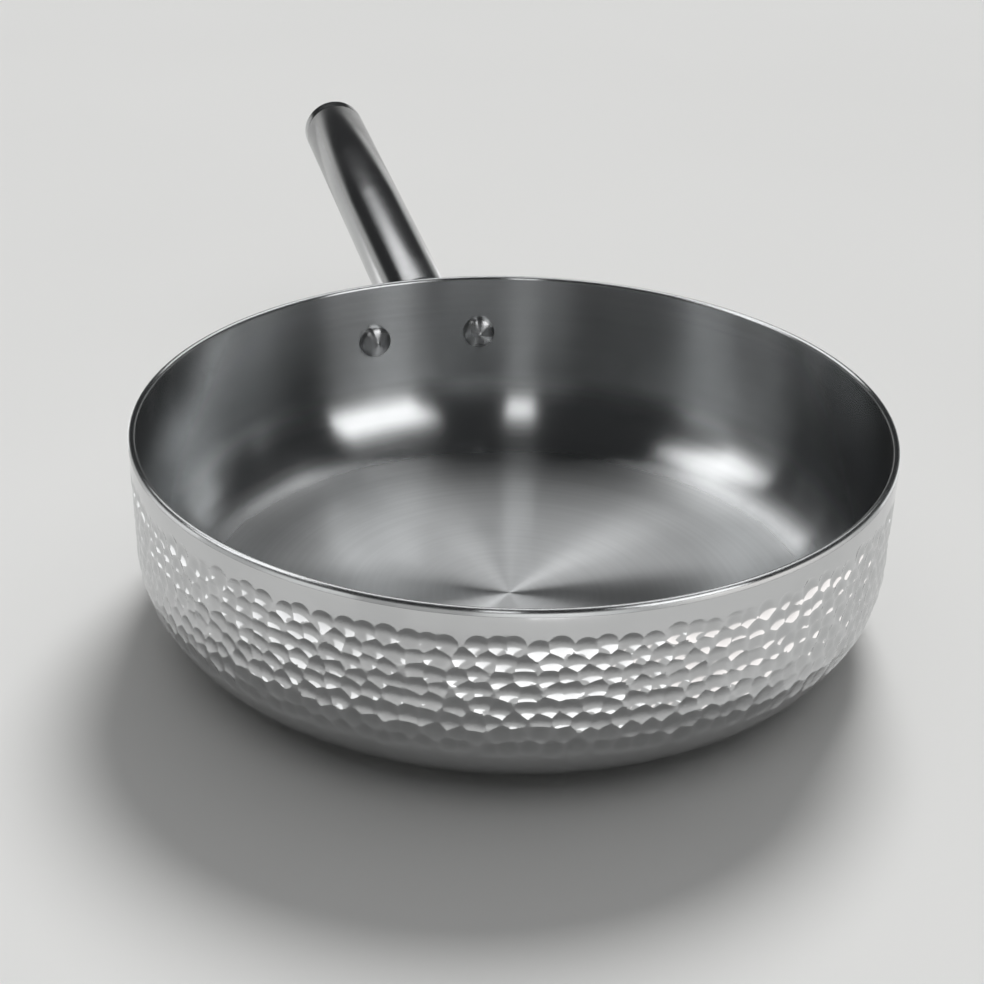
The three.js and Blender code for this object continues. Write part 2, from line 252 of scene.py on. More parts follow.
def turned(name, section, steps):
    bpy.ops.object.select_all(action="DESELECT")
    start = section[0]
    bpy.ops.mesh.primitive_plane_add(size=MM, location=(start[0], 0, start[1]))
    piece = bpy.context.object
    piece.name = name
    bpy.ops.object.mode_set(mode="EDIT")
    bpy.ops.mesh.select_all(action="SELECT")
    bpy.ops.mesh.merge(type="CENTER")
    for (radius, along), (next_radius, next_along) in zip(section, section[1:]):
        step = (next_radius - radius, 0, next_along - along)
        bpy.ops.mesh.extrude_vertices_move(TRANSFORM_OT_translate={"value": step})
    bpy.ops.mesh.select_all(action="SELECT")
    bpy.ops.mesh.spin(steps=steps, angle=2 * pi, center=(0, 0, 0), axis=(0, 0, 1))
    bpy.ops.mesh.select_all(action="SELECT")
    bpy.ops.mesh.remove_doubles(threshold=MERGE_DISTANCE)
    bpy.ops.mesh.normals_make_consistent(inside=False)
    bpy.ops.object.mode_set(mode="OBJECT")
    bpy.ops.object.transform_apply(location=True, rotation=True, scale=True)
    return piece


def read_points(piece):
    points = np.empty(len(piece.data.vertices) * 3)
    piece.data.vertices.foreach_get("co", points)
    return points.reshape(-1, 3)


def write_points(piece, points):
    piece.data.vertices.foreach_set("co", np.ascontiguousarray(points).ravel())
    piece.data.update()


def move_points(piece, moved):
    write_points(piece, moved(read_points(piece)))


def pick(piece):
    bpy.ops.object.select_all(action="DESELECT")
    piece.select_set(True)
    bpy.context.view_layer.objects.active = piece


def set_in_place(piece, turn, place):
    pick(piece)
    piece.rotation_euler = turn
    piece.location = place
    bpy.ops.object.transform_apply(location=True, rotation=True, scale=True)


def smooth(piece, crease):
    pick(piece)
    bpy.ops.object.shade_smooth_by_angle(angle=radians(crease))


def rounded_edge(radius, top, edge, steps):
    angles = [pi / 2 * i / steps for i in range(steps + 1)]
    return [(radius - edge * (1 - cos(angle)), top - edge * (1 - sin(angle))) for angle in angles]


print("helpers: turned, read_points, write_points, move_points, pick, set_in_place, smooth, rounded_edge")

# %% [markdown]
# ## The bowl's section
# The wall leans in by less than a degree and rolls under in one wide round corner to a flat base. Every
# sheet of the bowl follows that line at its own inset, so one function gives them all. A hammer mark
# needs another measure: how far down the section from the rim it was struck.

# %% The bowl's measures and section
RIM_RADIUS = 120 * MM
PAN_HEIGHT = 67.5 * MM
WALL_DRAFT = radians(0.8)
BASE_CORNER = 31 * MM
OUTER_SKIN = 0.8 * MM
CORE = 1.0 * MM
INNER_SKIN = 0.5 * MM
BOND_LINE = 0.05 * MM
LIP_DEPTH = 2 * MM
WALL = OUTER_SKIN + CORE + INNER_SKIN + 2 * BOND_LINE
SKIN_TOP = PAN_HEIGHT - LIP_DEPTH - BOND_LINE
CORNER_SWEEP = pi / 2 - WALL_DRAFT
STRAIGHT_LENGTH = (PAN_HEIGHT - BASE_CORNER + BASE_CORNER * sin(WALL_DRAFT)) / cos(WALL_DRAFT)
CORNER_LENGTH = BASE_CORNER * CORNER_SWEEP
SECTION_LENGTH = STRAIGHT_LENGTH + CORNER_LENGTH


def wall_radius(height, inset=0.0):
    return RIM_RADIUS - (PAN_HEIGHT - height) * tan(WALL_DRAFT) - inset / cos(WALL_DRAFT)


CORNER_CENTRE = wall_radius(BASE_CORNER) - BASE_CORNER / cos(WALL_DRAFT)


def section_point(distance, inset=0.0):
    past = np.maximum(0, distance - STRAIGHT_LENGTH)
    short = np.maximum(0, STRAIGHT_LENGTH - distance)
    angle = WALL_DRAFT + past / BASE_CORNER
    reach = BASE_CORNER - inset
    radius = CORNER_CENTRE + reach * np.cos(angle) + short * sin(WALL_DRAFT)
    return radius, BASE_CORNER - reach * np.sin(angle) + short * cos(WALL_DRAFT)


def bowl_section(inset, top, corner_steps, base_rings=3):
    flat = [(CORNER_CENTRE * i / base_rings, inset) for i in range(base_rings)]
    bend = [STRAIGHT_LENGTH + CORNER_LENGTH * i / corner_steps for i in range(corner_steps, -1, -1)]
    return flat + [section_point(distance, inset) for distance in bend] + [(wall_radius(top, inset), top)]


print("section from rim to base in mm:", round(SECTION_LENGTH / MM, 1))

# %% [markdown]
# ## The hammered outer skin
# The outer sheet is polished steel that was struck with a round-faced hammer, row under row, so each mark
# is a shallow round hollow and the marks meet in sharp ridges. A texture could only fake that. Here the
# turned sheet has a fine mesh in the struck zone, and each point is pressed in by the deepest hollow that
# reaches it. Where two hollows are equally deep, a ridge is left by itself, and the top row keeps its
# round arches against the plain band. A mesh that ignores the ridges would blunt them, so each point that
# lies within half a step of a ridge first slides onto it, and faces that a ridge crosses from corner to
# corner are cut along it.

# %% Turn the outer skin
HOLLOWS_ROUND = 124
HOLLOW_ROWS = 8
ROW_PITCH = 4.75 * MM
PLAIN_BAND = 9.2 * MM
SKIN_STEPS = HOLLOWS_ROUND * 8
MARK_STEP = 0.66 * MM
BAND_MARGIN = 2.8 * MM
BAND_RING = 4.5 * MM
LOWER_RINGS = 9

marks_start = PLAIN_BAND - BAND_MARGIN
marks_end = PLAIN_BAND + HOLLOW_ROWS * ROW_PITCH + BAND_MARGIN
mark_rings = round((marks_end - marks_start) / MARK_STEP)
lower = SECTION_LENGTH - marks_end
below = [marks_end + lower * i / LOWER_RINGS for i in range(LOWER_RINGS, 0, -1)]
struck = [marks_end + (marks_start - marks_end) * i / mark_rings for i in range(mark_rings + 1)]
outside = [(0, 0), (CORNER_CENTRE * 0.5, 0)]
outside += [section_point(distance) for distance in below + struck]
outside += [section_point(BAND_RING), (wall_radius(SKIN_TOP), SKIN_TOP)]
behind = bowl_section(OUTER_SKIN, SKIN_TOP, 8, 1)
outer_skin = turned("outer_skin", outside + behind[::-1], SKIN_STEPS)
print("outer skin faces:", len(outer_skin.data.polygons))

# %% Find the two deepest hollows at a point
HOLLOW_DEPTH = 0.62 * MM
HAMMER_RADIUS = 10.5 * MM
STRAY_ALONG = 0.46
STRAY_ACROSS = 0.4
ROW_DRIFT = 0.5
STRAY_DEPTH = 0.4
ROUND_THE_RIM = 2 * pi * RIM_RADIUS


def stray(row, column, kind):
    wave = np.sin(row * 127.1 + column * 311.7 + kind * 74.7) * 43758.5453
    return wave - np.floor(wave) - 0.5


def hollow(row, column):
    wrapped = column % HOLLOWS_ROUND
    stagger = (row % 2) / 2 + ROW_DRIFT * stray(row, 0, 3)
    along = column + stagger + STRAY_ALONG * stray(row, wrapped, 1)
    across = row + 0.5 + STRAY_ACROSS * stray(row, wrapped, 2)
    depth = HOLLOW_DEPTH * (1 + STRAY_DEPTH * stray(row, wrapped, 4))
    return along / HOLLOWS_ROUND, PLAIN_BAND + ROW_PITCH * across, depth


def deepest_two(turn, distance):
    first = np.zeros((3, len(turn)))
    second = np.full((3, len(turn)), -1.0)
    row = np.floor((distance - PLAIN_BAND) / ROW_PITCH)
    column = np.floor(turn * HOLLOWS_ROUND)
    for row_step in (-1, 0, 1):
        near_row = row + row_step
        in_rows = (near_row >= 0) & (near_row < HOLLOW_ROWS)
        for column_step in (-2, -1, 0, 1, 2):
            centre_turn, centre_distance, depth = hollow(near_row, column + column_step)
            along = (turn - centre_turn) * ROUND_THE_RIM
            across = distance - centre_distance
            pressed = depth - (along ** 2 + across ** 2) / (2 * HAMMER_RADIUS)
            slopes = -along / HAMMER_RADIUS, -across / HAMMER_RADIUS
            found = np.stack([np.where(in_rows, pressed, -1.0), *slopes])
            leads = found[0] > first[0]
            follows = ~leads & (found[0] > second[0])
            second = np.where(leads, first, np.where(follows, found, second))
            first = np.where(leads, found, first)
    return first, second


print("hollows to strike:", HOLLOWS_ROUND * HOLLOW_ROWS)

# %% Slide points onto the ridges and strike
def on_section(points):
    x, y, z = points.T
    radius = np.hypot(x, y)
    angle = np.arctan2(BASE_CORNER - z, radius - CORNER_CENTRE)
    rolled = angle > WALL_DRAFT
    corner_inset = BASE_CORNER - np.hypot(radius - CORNER_CENTRE, BASE_CORNER - z)
    inset = np.where(rolled, corner_inset, (wall_radius(z) - radius) * cos(WALL_DRAFT))
    rolled_distance = STRAIGHT_LENGTH + (angle - WALL_DRAFT) * BASE_CORNER
    distance = np.where(rolled, rolled_distance, (PAN_HEIGHT - z) / cos(WALL_DRAFT))
    struck = (distance > marks_start) & (distance < marks_end) & (radius > CORNER_CENTRE)
    return np.arctan2(x, -y) / (2 * pi) % 1, distance, inset, struck


points = read_points(outer_skin)
turn, distance, inset, struck = on_section(points)
zone = struck & (inset < OUTER_SKIN / 4)
turn, distance = turn[zone], distance[zone]

first, second = deepest_two(turn, distance)
gap, along_slope, across_slope = first - second
along_slide = -gap / np.where(along_slope == 0, 1, along_slope)
across_slide = -gap / np.where(across_slope == 0, 1, across_slope)
along_share = np.where(along_slope == 0, 1, np.abs(along_slide) * SKIN_STEPS / ROUND_THE_RIM)
across_share = np.where(across_slope == 0, 1, np.abs(across_slide) * mark_rings / (marks_end - marks_start))
slides_along = (along_share < 0.5) & (along_share <= across_share)
slides_across = (across_share < 0.5) & (across_share < along_share)
turn = turn + np.where(slides_along, along_slide, 0) / ROUND_THE_RIM
distance = distance + np.where(slides_across, across_slide, 0)

depth = deepest_two(turn, distance)[0][0]
struck_radius, struck_height = section_point(distance, depth)
struck_x, struck_y = struck_radius * np.sin(2 * pi * turn), -struck_radius * np.cos(2 * pi * turn)
points[zone] = np.stack([struck_x, struck_y, struck_height], 1)
write_points(outer_skin, points)
on_ridge = np.zeros(len(points), bool)
on_ridge[zone] = slides_along | slides_across
print("points on ridges:", int(on_ridge.sum()), "of", int(zone.sum()))

# %% Cut the faces that a ridge crosses
RIDGE_CREASE = 11


def cut_along_ridges(first_corner, method):
    mesh = outer_skin.data
    sizes = np.empty(len(mesh.polygons), int)
    starts = np.empty(len(mesh.polygons), int)
    corners = np.empty(len(mesh.loops), int)
    mesh.polygons.foreach_get("loop_total", sizes)
    mesh.polygons.foreach_get("loop_start", starts)
    mesh.loops.foreach_get("vertex_index", corners)
    quads = np.flatnonzero(sizes == 4)
    flags = on_ridge[corners[starts[quads][:, None] + np.arange(4)]]
    other = 1 - first_corner
    crossed = flags[:, first_corner] & flags[:, first_corner + 2] & ~(flags[:, other] & flags[:, other + 2])
    chosen = np.zeros(len(mesh.polygons), bool)
    chosen[quads[crossed]] = True
    bpy.ops.object.mode_set(mode="EDIT")
    bpy.ops.mesh.select_mode(type="FACE")
    bpy.ops.mesh.select_all(action="DESELECT")
    bpy.ops.object.mode_set(mode="OBJECT")
    mesh.polygons.foreach_set("select", chosen)
    bpy.ops.object.mode_set(mode="EDIT")
    bpy.ops.mesh.quads_convert_to_tris(quad_method=method)
    bpy.ops.mesh.select_mode(type="VERT")
    bpy.ops.object.mode_set(mode="OBJECT")
    return int(crossed.sum())


bpy.context.view_layer.objects.active = outer_skin
cuts = cut_along_ridges(0, "FIXED") + cut_along_ridges(1, "FIXED_ALTERNATE")
smooth(outer_skin, RIDGE_CREASE)
print("faces cut along ridges:", cuts)

# %% [markdown]
# ## The aluminium core
# Steel spreads heat poorly, so a sheet of aluminium lies between the two skins. Nothing of it shows: the
# lip closes it in. It is still a piece of its own, because a reader who takes the bowl apart should find
# it.

# %% Turn the core
BOWL_STEPS = 256
EDGE_CREASE = 40
core_inset = OUTER_SKIN + BOND_LINE
core_outside = bowl_section(core_inset, SKIN_TOP, 16)
core_inside = bowl_section(core_inset + CORE, SKIN_TOP, 16)
heat_core = turned("aluminium_core", core_outside + core_inside[::-1], BOWL_STEPS)
smooth(heat_core, EDGE_CREASE)
print("core faces:", len(heat_core.data.polygons))

# %% [markdown]
# ## The inner skin and its lip
# The inner sheet is longer than the other two. At the rim it is rolled out over them into a rounded lip,
# which is the thin bright line round the pan. The lip's half circle is part of the same section, so it
# needs no join.

# %% Turn the inner skin
LIP_STEPS = 14
LIP_CREASE = 50
lip_foot = PAN_HEIGHT - LIP_DEPTH
lip_round = WALL / 2
lip_centre = PAN_HEIGHT - lip_round
lip = [(wall_radius(lip_foot), lip_foot)]
for step in range(LIP_STEPS):
    angle = pi * step / LIP_STEPS
    out, up = lip_round * cos(angle), lip_round * sin(angle)
    lip.append((wall_radius(lip_centre, lip_round) + out, lip_centre + up))
skin_outside = bowl_section(WALL - INNER_SKIN, lip_foot, 12)
skin_inside = bowl_section(WALL, lip_centre, 24, 4)
inner_skin = turned("inner_skin", skin_outside + lip + skin_inside[::-1], BOWL_STEPS)
smooth(inner_skin, LIP_CREASE)
print("inner skin faces:", len(inner_skin.data.polygons))

# %% [markdown]
# ## The handle tube
# The handle is a length of drawn tube. Its foot is cut to the curve of the bracket and welded there, and
# the weld is dressed to a small hollow fillet. The tube is turned straight, with a few extra rings near
# the foot. Then each point of the foot slides along the tube until it lies on the bracket's face, and the
# slide fades out further up.

# %% Turn the tube and cope its foot
TUBE_RADIUS = 12.7 * MM
TUBE_WALL = 1.2 * MM
HANDLE_TILT = radians(7)
HANDLE_REACH = 172.5 * MM
HANDLE_ROOT = 51.8 * MM
CAP_RIM = 6 * MM
SEAM_GAP = 0.16 * MM
SEAM_EDGE = 0.22 * MM
WELD = 1.5 * MM
WELD_STEPS = 6
FOOT_RING = 4 * MM
FADE_RINGS = 8
COPE_ROUNDS = 30
BRACKET_FACE = 2.8 * MM
COPE_FADE = 60 * MM
TUBE_STEPS = 96
HANDLE_TURN = (HANDLE_TILT - pi / 2, 0, 0)
HANDLE_PLACE = (0, RIM_RADIUS, HANDLE_ROOT)

bore = TUBE_RADIUS - TUBE_WALL
tube_end = HANDLE_REACH - CAP_RIM - SEAM_GAP
tube_section = [(bore, 0)]
for step in range(WELD_STEPS + 1):
    angle = pi / 2 * step / WELD_STEPS
    tube_section.append((TUBE_RADIUS + WELD * (1 - sin(angle)), WELD * (1 - cos(angle))))
tube_section += [(TUBE_RADIUS, FOOT_RING)]
tube_section += [(TUBE_RADIUS, COPE_FADE * i / FADE_RINGS) for i in range(1, FADE_RINGS + 1)]
tube_section += [(TUBE_RADIUS, tube_end * 0.5), (TUBE_RADIUS, tube_end - SEAM_EDGE)]
seam_bend = 0.3 * SEAM_EDGE
tube_section += [(TUBE_RADIUS - seam_bend, tube_end - seam_bend), (TUBE_RADIUS - SEAM_EDGE, tube_end)]
tube_section += [(bore, tube_end), (bore, COPE_FADE), (bore, COPE_FADE / 2), (bore, 0)]
handle_tube = turned("tube", tube_section, TUBE_STEPS)


def cope(points):
    x, y, z = points.T
    side_x, side_y = x, -y
    foot = np.zeros_like(x)
    for _ in range(COPE_ROUNDS):
        world_y = RIM_RADIUS + foot * cos(HANDLE_TILT) - side_y * sin(HANDLE_TILT)
        world_z = HANDLE_ROOT + foot * sin(HANDLE_TILT) + side_y * cos(HANDLE_TILT)
        face = wall_radius(world_z) + BRACKET_FACE
        foot = foot + np.sqrt(face ** 2 - side_x ** 2) - world_y
    fade = np.clip(1 - z / COPE_FADE, 0, 1)
    return np.stack([x, y, z + foot * fade], 1)


move_points(handle_tube, cope)
set_in_place(handle_tube, HANDLE_TURN, HANDLE_PLACE)
smooth(handle_tube, EDGE_CREASE)
print("tube faces:", len(handle_tube.data.polygons))

# %% [markdown]
# ## The end cap
# A pressed steel cup is pushed into the open end of the tube, and its rounded rim covers the cut edge.
# Only that rim and a fine seam show. The seam is real here: both edges are broken a little and a hair of
# a gap stays between them.

# %% Turn the cap
CAP_EDGE = 2 * MM
CAP_PLUG = 8 * MM
PLUG_GAP = 0.02 * MM
CAP_SHEET = 1.2 * MM
CAP_EDGE_STEPS = 10

seat = HANDLE_REACH - CAP_RIM
plug = bore - PLUG_GAP
cup = plug - CAP_SHEET
cap_section = [(0, HANDLE_REACH - CAP_SHEET), (cup, HANDLE_REACH - CAP_SHEET), (cup, seat - CAP_PLUG)]
cap_section += [(plug, seat - CAP_PLUG), (plug, seat), (TUBE_RADIUS - SEAM_EDGE, seat)]
cap_section += [(TUBE_RADIUS, seat + SEAM_EDGE)]
cap_section += rounded_edge(TUBE_RADIUS, HANDLE_REACH, CAP_EDGE, CAP_EDGE_STEPS)
cap_section += [(TUBE_RADIUS * 0.5, HANDLE_REACH), (0, HANDLE_REACH)]
end_cap = turned("end_cap", cap_section, TUBE_STEPS)
set_in_place(end_cap, HANDLE_TURN, HANDLE_PLACE)
smooth(end_cap, EDGE_CREASE)
print("cap faces:", len(end_cap.data.polygons))

# %% [markdown]
# ## The bracket
# Behind the wall, a pressed steel saddle carries the tube: a round body with an ear round each rivet. It
# starts as a turned disc with rounded edges. Each point is pulled out to the outline, the tightest loop
# round three circles, and the flat plate is then wrapped round the wall.

# %% Shape the bracket
BRACKET_THICKNESS = 2.75 * MM
BRACKET_BODY_RADIUS = 14.2 * MM
BRACKET_BODY_HEIGHT = 50.8 * MM
BRACKET_EAR_RADIUS = 9 * MM
BRACKET_EDGE = 0.9 * MM
BRACKET_EDGE_STEPS = 6
BRACKET_STEPS = 192
RIVET_HEIGHT = 46 * MM
RIVET_ANGLE = radians(9.7)
SPIGOT_START = 4 * MM
SPIGOT_LENGTH = 18 * MM
SPIGOT_WALL = 2 * MM
FIT_GAP = 0.3 * MM

disc = BRACKET_BODY_RADIUS
plate_section = [(0, 0), (disc / 3, 0), (disc * 2 / 3, 0)]
plate_section += [(disc - BRACKET_EDGE / 3, 0), (disc, BRACKET_EDGE / 3)]
plate_section += rounded_edge(disc, BRACKET_THICKNESS, BRACKET_EDGE, BRACKET_EDGE_STEPS)
plate_section += [(disc * 2 / 3, BRACKET_THICKNESS), (disc / 3, BRACKET_THICKNESS), (0, BRACKET_THICKNESS)]
bracket = turned("bracket", plate_section, BRACKET_STEPS)

ear_out = (wall_radius(RIVET_HEIGHT) + BRACKET_FACE) * sin(RIVET_ANGLE)
ear_drop = RIVET_HEIGHT - BRACKET_BODY_HEIGHT


def outline_reach(angles):
    facing = np.linspace(0, 2 * pi, 1441)[:-1]
    body = np.full_like(facing, BRACKET_BODY_RADIUS)
    right_ear = ear_out * np.cos(facing) + ear_drop * np.sin(facing) + BRACKET_EAR_RADIUS
    left_ear = -ear_out * np.cos(facing) + ear_drop * np.sin(facing) + BRACKET_EAR_RADIUS
    support = np.maximum(body, np.maximum(right_ear, left_ear))
    slant = np.cos(angles[:, None] - facing[None, :])
    return np.where(slant > 0.05, support[None, :] / np.maximum(slant, 0.05), np.inf).min(1)


def wrap_plate(points):
    x, y, z = points.T
    radius, angle = np.hypot(x, y), np.arctan2(y, x)
    reach = outline_reach(angle)
    edge = disc - BRACKET_EDGE
    out = np.where(radius > edge, reach - (disc - radius), radius / edge * (reach - BRACKET_EDGE))
    across, up = out * np.cos(angle), out * np.sin(angle) + BRACKET_BODY_HEIGHT
    wall = wall_radius(up)
    bend = across / (wall + BRACKET_FACE)
    from_axis = wall + BRACKET_FACE - BRACKET_THICKNESS + z
    return np.stack([from_axis * np.sin(bend), from_axis * np.cos(bend), up], 1)


move_points(bracket, wrap_plate)
bpy.ops.object.mode_set(mode="EDIT")
bpy.ops.mesh.select_all(action="SELECT")
bpy.ops.mesh.normals_make_consistent(inside=False)
bpy.ops.object.mode_set(mode="OBJECT")
print("bracket ears in mm:", round(ear_out / MM, 1), "from the middle")

# %% Add the spigot inside the tube
spigot_out = bore - FIT_GAP
spigot_in = spigot_out - SPIGOT_WALL
spigot_section = [(spigot_in, SPIGOT_START), (spigot_out, SPIGOT_START), (spigot_out, SPIGOT_LENGTH)]
spigot_section += [(spigot_in, SPIGOT_LENGTH), (spigot_in, SPIGOT_START)]
spigot = turned("spigot", spigot_section, TUBE_STEPS)
set_in_place(spigot, HANDLE_TURN, HANDLE_PLACE)
pick(bracket)
spigot.select_set(True)
bpy.ops.object.join()
smooth(bracket, EDGE_CREASE)
print("bracket faces:", len(bracket.data.polygons))

# %% [markdown]
# ## The rivets
# Two solid rivets hold the bracket. Inside the bowl each has a low turned head with a small pip in the
# middle, and behind the bracket its end is clenched to a button. A flat seat would rock on a round wall,
# so the edge of each head slides along the rivet until it lies on the sheet.

# %% Turn the rivets
HEAD_RADIUS = 5.75 * MM
HEAD_EDGE = 0.7 * MM
HEAD_RISE = 2.2 * MM
PIP_RADIUS = 0.8 * MM
PIP_RISE = 0.3 * MM
SHANK_RADIUS = 3 * MM
CLENCH_RADIUS = 5 * MM
CLENCH_EDGE = 0.2 * MM
CLENCH_RISE = 1.8 * MM
SEAT_TOLERANCE = 0.01 * MM
RIVET_STEPS = 64
DOME_STEPS = 12

head_seat = sqrt(wall_radius(RIVET_HEIGHT, WALL) ** 2 - HEAD_RADIUS ** 2) - FIT_GAP
clench_seat = wall_radius(RIVET_HEIGHT) + BRACKET_FACE + FIT_GAP
head_top = head_seat - HEAD_EDGE - HEAD_RISE


def dome(radius, edge, rise, stop=0.0):
    last = acos(stop / radius)
    turns = [last * i / DOME_STEPS for i in range(DOME_STEPS + 1)]
    return [(radius * cos(angle), edge + rise * sin(angle)) for angle in turns]


rivet_section = [(0, head_top - PIP_RISE), (PIP_RADIUS * 0.6, head_top - PIP_RISE * 0.8)]
rivet_section += dome(HEAD_RADIUS, head_seat - HEAD_EDGE, -HEAD_RISE, PIP_RADIUS)[::-1]
rivet_section += [(HEAD_RADIUS, head_seat), (SHANK_RADIUS, head_seat)]
rivet_section += [(SHANK_RADIUS, clench_seat), (CLENCH_RADIUS, clench_seat)]
rivet_section += dome(CLENCH_RADIUS, clench_seat + CLENCH_EDGE, CLENCH_RISE - CLENCH_EDGE)


def seat_rivet(points):
    x, y, z = points.T
    radius = np.hypot(x, y)
    height = RIVET_HEIGHT - y
    inside = np.sqrt((wall_radius(height) - WALL) ** 2 - x ** 2)
    face = np.sqrt((wall_radius(height) + BRACKET_FACE) ** 2 - x ** 2)
    on_head = (np.abs(z - head_seat) < SEAT_TOLERANCE) & (radius > SHANK_RADIUS - SEAT_TOLERANCE)
    on_clench = np.abs(z - clench_seat) < SEAT_TOLERANCE
    return np.stack([x, y, np.where(on_head, inside, np.where(on_clench, face, z))], 1)


rivets = {}
for name, angle in (("left", RIVET_ANGLE), ("right", -RIVET_ANGLE)):
    rivet = turned("rivet_head_" + name, rivet_section, RIVET_STEPS)
    move_points(rivet, seat_rivet)
    set_in_place(rivet, (-pi / 2, 0, angle), (0, 0, RIVET_HEIGHT))
    smooth(rivet, EDGE_CREASE)
    rivets[name] = rivet
print("rivet faces:", len(rivet.data.polygons))

# %% [markdown]
# ## The rivet holes
# The shanks go through all three sheets and the bracket. One cutter with two pins drills every sheet with
# a Boolean modifier, which is applied at once, and the cutter is thrown away.

# %% Drill the sheets
DRILL_LENGTH = 30 * MM
DRILL_CLEARANCE = 0.05 * MM
DRILL_CORNERS = 32
bpy.ops.object.select_all(action="DESELECT")
pins = []
for angle in (RIVET_ANGLE, -RIVET_ANGLE):
    place = (-RIM_RADIUS * sin(angle), RIM_RADIUS * cos(angle), RIVET_HEIGHT)
    bpy.ops.mesh.primitive_cylinder_add(
        vertices=DRILL_CORNERS,
        radius=SHANK_RADIUS + DRILL_CLEARANCE,
        depth=DRILL_LENGTH,
        location=place,
        rotation=(-pi / 2, 0, angle),
    )
    pins.append(bpy.context.object)
for pin in pins:
    pin.select_set(True)
bpy.ops.object.join()
drill = bpy.context.object
for sheet in (outer_skin, heat_core, inner_skin, bracket):
    cut = sheet.modifiers.new("drill", "BOOLEAN")
    cut.object = drill
    cut.operation = "DIFFERENCE"
    cut.solver = "EXACT"
    bpy.context.view_layer.objects.active = sheet
    bpy.ops.object.modifier_apply(modifier=cut.name)
    print(sheet.name, "faces after drilling:", len(sheet.data.polygons))
bpy.data.objects.remove(drill)
smooth(outer_skin, RIDGE_CREASE)

# %% [markdown]
# ## Shared effects
# All the finishes here come from rubbing steel with something: a belt, a wheel or a cloth. So two effects
# are shared. Turned lines run round an axis and vary quickly across and slowly along. They are a noise on
# the section's own measure, the radius and height together, and on a small circle for the turn, so no
# seam shows. Handling marks are the broad faint smudges that any polished pan carries.

# %% Build the shared groups
NEAR_AXIS = 0.5 * MM


def new_group(name, inputs, output):
    group = bpy.data.node_groups.new(name, "ShaderNodeTree")
    group.interface.new_socket("Vector", in_out="INPUT", socket_type="NodeSocketVector")
    for title, value in inputs:
        made = group.interface.new_socket(title, in_out="INPUT", socket_type="NodeSocketFloat")
        made.default_value = value
    group.interface.new_socket(output, in_out="OUTPUT", socket_type="NodeSocketFloat")
    return group, add_node(group, "NodeGroupInput"), add_node(group, "NodeGroupOutput")


turned_lines, given, result = new_group("turned lines", (("Fineness", 2500.0), ("Run", 1.5)), "Lines")
parts = add_node(turned_lines, "ShaderNodeSeparateXYZ")
feed(turned_lines, given.outputs["Vector"], parts.inputs[0])
x, y, z = parts.outputs
squares = [calc(turned_lines, "MULTIPLY", side, side) for side in (x, y)]
radius = calc(turned_lines, "SQRT", calc(turned_lines, "ADD", *squares))
measure = calc(turned_lines, "ADD", radius, z)
spread = calc(turned_lines, "DIVIDE", given.outputs["Run"], calc(turned_lines, "MAXIMUM", radius, NEAR_AXIS))
across_lines = calc(turned_lines, "MULTIPLY", measure, given.outputs["Fineness"])
line_vector = add_node(turned_lines, "ShaderNodeCombineXYZ")
feed(turned_lines, across_lines, line_vector.inputs["X"])
feed(turned_lines, calc(turned_lines, "MULTIPLY", x, spread), line_vector.inputs["Y"])
feed(turned_lines, calc(turned_lines, "MULTIPLY", y, spread), line_vector.inputs["Z"])
feed(turned_lines, noise(turned_lines, line_vector.outputs[0], 1.0, 3.0), result.inputs["Lines"])

handling_marks, given, result = new_group("handling marks", (("Size", 0.03),), "Smudge")
spots = add_node(handling_marks, "ShaderNodeVectorMath", operation="SCALE")
feed(handling_marks, given.outputs["Vector"], spots.inputs[0])
feed(handling_marks, calc(handling_marks, "DIVIDE", 1.0, given.outputs["Size"]), spots.inputs["Scale"])
broad = noise(handling_marks, spots.outputs[0], 1.0, 4.0)
feed(handling_marks, blend_range(handling_marks, broad, 0.45, 0.7), result.inputs["Smudge"])


def use_group(tree, group, vector, **values):
    made = add_node(tree, "ShaderNodeGroup", node_tree=group)
    feed(tree, vector, made.inputs["Vector"])
    for title, value in values.items():
        feed(tree, value, made.inputs[title])
    return made.outputs[0]


print("groups:", turned_lines.name, "and", handling_marks.name)

# %% [markdown]
# ## Steel
# Every steel piece has the same metal and differs in how it was rubbed, but the handle's colour is
# painted darker, as painted shade. A helper starts the material with the metal's colour, smudged a
# little, and a roughness that the smudges raise. Others add what the piece needs: lines or ripples as
# height for a Bump node, a pattern that tones the colour, painted shade in the hammer's hollows, or a
# brushed sheen that spreads a highlight across the lines.

# %% A helper for steel
def start_steel(name, pale, dark, polish, dulled):
    steel = bpy.data.materials.new(name)
    steel.use_nodes = True
    tree = steel.node_tree
    shader = tree.nodes["Principled BSDF"]
    shader.inputs["Metallic"].default_value = 1
    where = add_node(tree, "ShaderNodeTexCoord").outputs["Object"]
    smudge = use_group(tree, handling_marks, where, Size=0.03)
    colour = add_node(tree, "ShaderNodeMix", data_type="RGBA")
    feed(tree, smudge, colour.inputs["Factor"])
    colour.inputs["A"].default_value = (*pale, 1)
    colour.inputs["B"].default_value = (*dark, 1)
    feed(tree, colour.outputs["Result"], shader.inputs["Base Color"])
    rough = blend_range(tree, smudge, 0.0, 1.0, polish, dulled)
    feed(tree, rough, shader.inputs["Roughness"])
    return steel, tree, shader, where, rough


def add_bump(tree, shader, height, distance):
    bump = add_node(tree, "ShaderNodeBump")
    bump.inputs["Distance"].default_value = distance
    feed(tree, height, bump.inputs["Height"])
    feed(tree, bump.outputs["Normal"], shader.inputs["Normal"])


def tone_colour(tree, shader, factor):
    toned = add_node(tree, "ShaderNodeMix", data_type="RGBA", blend_type="MULTIPLY")
    toned.inputs["Factor"].default_value = 1
    feed(tree, shader.inputs["Base Color"].links[0].from_socket, toned.inputs["A"])
    feed(tree, factor, toned.inputs["B"])
    feed(tree, toned.outputs["Result"], shader.inputs["Base Color"])


